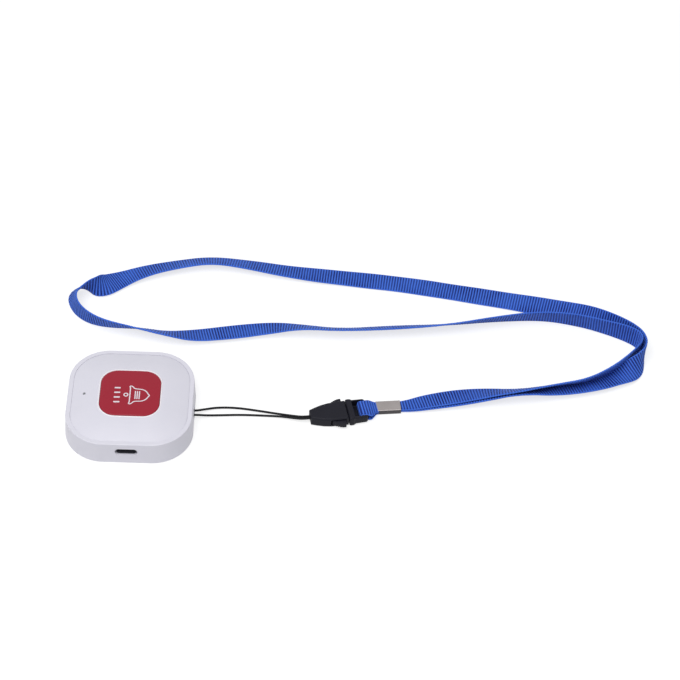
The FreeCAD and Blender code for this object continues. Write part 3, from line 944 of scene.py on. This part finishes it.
# %% [markdown]
# The clip is a steel sleeve pressed flat. Its top mirrors the white studio, while its folded
# sides get a painted shade: a dark grey that isn't metal stands in for the shade and the dimmer
# reflections on them. A mask for the sides would need a UV map of its own. Instead the two
# finishes are shared out by where a face looks: nearly straight up, or not.

# %% Finish of the clip
UPWARD = 0.8

clip_steel = surface(
    "clip_steel", (170, 164, 163), (148, 142, 141), 0.4, grain=0.4 * MM, metallic=1.0,
)
# Painted shade for the sides: a dark dull grey in place of the shaded steel
clip_painted_shade = surface("clip_painted_shade", (92, 88, 90), (70, 67, 69), 0.5, gloss=0.2)
dress(clip_steel, "clip_sleeve")
clip.data.materials.append(clip_painted_shade)
# Faces that don't look nearly straight up get the painted shade
for face in clip.data.polygons:
    face.material_index = int(face.normal.z < UPWARD)

# %% [markdown]
# The weave follows the band, so its finish reads the band's own UV map: U counts ribs and V goes
# round the section. The grooves between the ribs get a painted shade, because light hardly
# reaches the threads there. Two more things keep the ribs from looking drawn with a ruler: a
# wobble along the band, and patches where that painted shade is paler.

# %% Shade of the grooves
RIB_WOBBLE = 0.22
WOBBLE_SIZE = 4 * MM
# Distance from a crest, in ribs, over which the groove grows dark
GROOVE_FROM_TO = (0.08, 0.36)
# Distance from the middle of a face, in faces, over which the selvedge begins
SELVEDGE_FROM_TO = (0.26, 0.36)
SELVEDGE_SHADE = 0.35
# In patches the painted groove shade drops to this share, over patches of this size
PATCHY_SHADE_LOW = 0.6
PATCHY_SHADE_SIZE = 11 * MM


def math_node(nodes, links, operation, first, second=None):
    node = nodes.new("ShaderNodeMath")
    node.operation = operation
    for socket, value in zip(node.inputs, (first, second)):
        if isinstance(value, (int, float)):
            socket.default_value = value
        elif value is not None:
            links.new(value, socket)
    return node.outputs[0]


def from_middle(nodes, links, value):
    # Distance from the middle of each unit: 0 half way along it, 0.5 at its ends
    part = math_node(nodes, links, "FRACT", value)
    return math_node(nodes, links, "ABSOLUTE", math_node(nodes, links, "SUBTRACT", part, 0.5))


def groove_shade(nodes, links, place):
    uv = nodes.new("ShaderNodeUVMap")
    uv.uv_map = "weave"
    split = nodes.new("ShaderNodeSeparateXYZ")
    links.new(uv.outputs["UV"], split.inputs["Vector"])
    noise = noise_from(nodes, links, place, WOBBLE_SIZE, 2)
    wobble = math_node(nodes, links, "MULTIPLY", noise, RIB_WOBBLE)
    ribs = math_node(nodes, links, "ADD", split.outputs["X"], wobble)
    ribs = math_node(nodes, links, "SUBTRACT", ribs, RIB_WOBBLE / 2)
    off_crest = from_middle(nodes, links, ribs)
    hollow = ranged(nodes, links, off_crest, (0, 1), GROOVE_FROM_TO, "SMOOTHSTEP")
    faces = math_node(nodes, links, "MULTIPLY", split.outputs["Y"], 2)
    off_face = from_middle(nodes, links, faces)
    limits = (1, SELVEDGE_SHADE)
    selvedge = ranged(nodes, links, off_face, limits, SELVEDGE_FROM_TO, "SMOOTHSTEP")
    shade = math_node(nodes, links, "MULTIPLY", hollow, selvedge)
    # Patches where the painted groove shade is weaker
    patchy_shade = ranged(nodes, links, noise_from(nodes, links, place, PATCHY_SHADE_SIZE, 2), (PATCHY_SHADE_LOW, 1))
    return math_node(nodes, links, "MULTIPLY", shade, patchy_shade)


# %% [markdown]
# The threads drift between two blues, and the groove's shade mixes them with a much darker one.
# A fine noise stands for the filaments of the yarn, and a little sheen for its fuzz.

# %% Grosgrain
FADE_SIZE = 14 * MM
FILAMENT_SIZE = 0.16 * MM
FILAMENT_DEPTH = 0.03 * MM


def grosgrain(name, crest, groove, faded):
    material, nodes, links, shader = material_nodes(name)
    place = nodes.new("ShaderNodeTexCoord").outputs["Object"]
    drift = noise_from(nodes, links, place, FADE_SIZE, 3)
    threads = blended(nodes, links, drift, screen(*crest), screen(*faded))
    shade = groove_shade(nodes, links, place)
    color = blended(nodes, links, shade, threads, screen(*groove))
    links.new(color, shader.inputs["Base Color"])
    shader.inputs["Roughness"].default_value = 0.7
    shader.inputs["Specular IOR Level"].default_value = 0.2
    shader.inputs["Sheen Weight"].default_value = 0.15
    shader.inputs["Sheen Roughness"].default_value = 0.4
    shader.inputs["Sheen Tint"].default_value = (0.45, 0.6, 1, 1)
    fine = noise_from(nodes, links, place, FILAMENT_SIZE, 2)
    bumped(nodes, links, shader, fine, FILAMENT_DEPTH)
    return material


webbing_blue = grosgrain("webbing_blue", (80, 130, 240), (10, 22, 98), (62, 108, 220))
dress(webbing_blue, "neck_webbing", "strap_loop")

# %% [markdown]
# The charging port is dark metal with a grey tongue, the seal under the button is soft silicone,
# and the light pipe is clear. Fully clear plastic would show only the dark inside of the case, so
# it is clear in part, and the indicator shows as a small grey dot.

# %% Finishes of the port, the seal and the light
shell_dark = surface("shell_dark", (82, 82, 90), (70, 70, 78), 0.42, metallic=0.4)
tongue_grey = surface("tongue_grey", (66, 66, 74), (58, 58, 66), 0.5)
silicone = surface("seal_silicone", (120, 122, 128), (108, 110, 116), 0.65)
clear = surface("clear_plastic", (226, 228, 234), (220, 222, 230), 0.2)
clear.node_tree.nodes["Principled BSDF"].inputs["Transmission Weight"].default_value = 0.7
plated = surface("plated_steel", (205, 204, 202), (188, 186, 184), 0.25, metallic=1.0)
dress(shell_dark, "usb_shell")
dress(tongue_grey, "usb_tongue")
dress(silicone, "button_seal")
dress(clear, "light_pipe", "status_led")
dress(plated, "crystal_can", "case_screws", "board_screws")

# %% [markdown]
# The board with its parts, the battery and its leads are seldom seen: they show when the case is
# opened. Their shapes are kept from the construction, because nobody looks at them closely, and
# the same surface function gives each its own colour, grain and gloss.

# %% Finishes of the board, the battery and the leads
laminate = surface("board_laminate", (22, 92, 58), (18, 80, 50), 0.42, patch=5 * MM)
chip_black = surface("component_black", (34, 34, 37), (26, 26, 29), 0.5, gloss=0.4)
plunger = surface("plunger_plastic", (206, 176, 120), (196, 166, 110), 0.45)
ceramic = surface("ceramic_tan", (198, 178, 148), (182, 160, 130), 0.55)
foil = surface(
    "battery_foil", (196, 198, 204), (176, 178, 186), 0.32, metallic=0.8, bump=0.02 * MM,
)
foam = surface(
    "foam", (66, 66, 70), (54, 54, 58), 0.95, grain=0.5 * MM, bump=0.1 * MM, gloss=0.1,
)
connector = surface("connector_plastic", (236, 230, 212), (228, 220, 200), 0.45)
wire_red = surface("lead_red", (186, 30, 34), (170, 24, 28), 0.42)
wire_black = surface("lead_black", (26, 26, 28), (20, 20, 22), 0.42)
dress(laminate, "circuit_board")
dress(chip_black, "switch_body", "radio_chip", "controller_chip", "charger_chip")
dress(plunger, "switch_plunger")
dress(ceramic, "chip_antenna", "chip_passives")
dress(foil, "battery_cell")
dress(foam, "battery_pad")
dress(connector, "battery_connector")
dress(wire_red, "battery_lead_red")
dress(wire_black, "battery_lead_black")

# %% [markdown]
# Last, the scene is brought up to date. The dressing isn't meant to change the object, so its
# size should change by fractions of a millimetre only.

# %% Last update
bpy.context.view_layer.update()
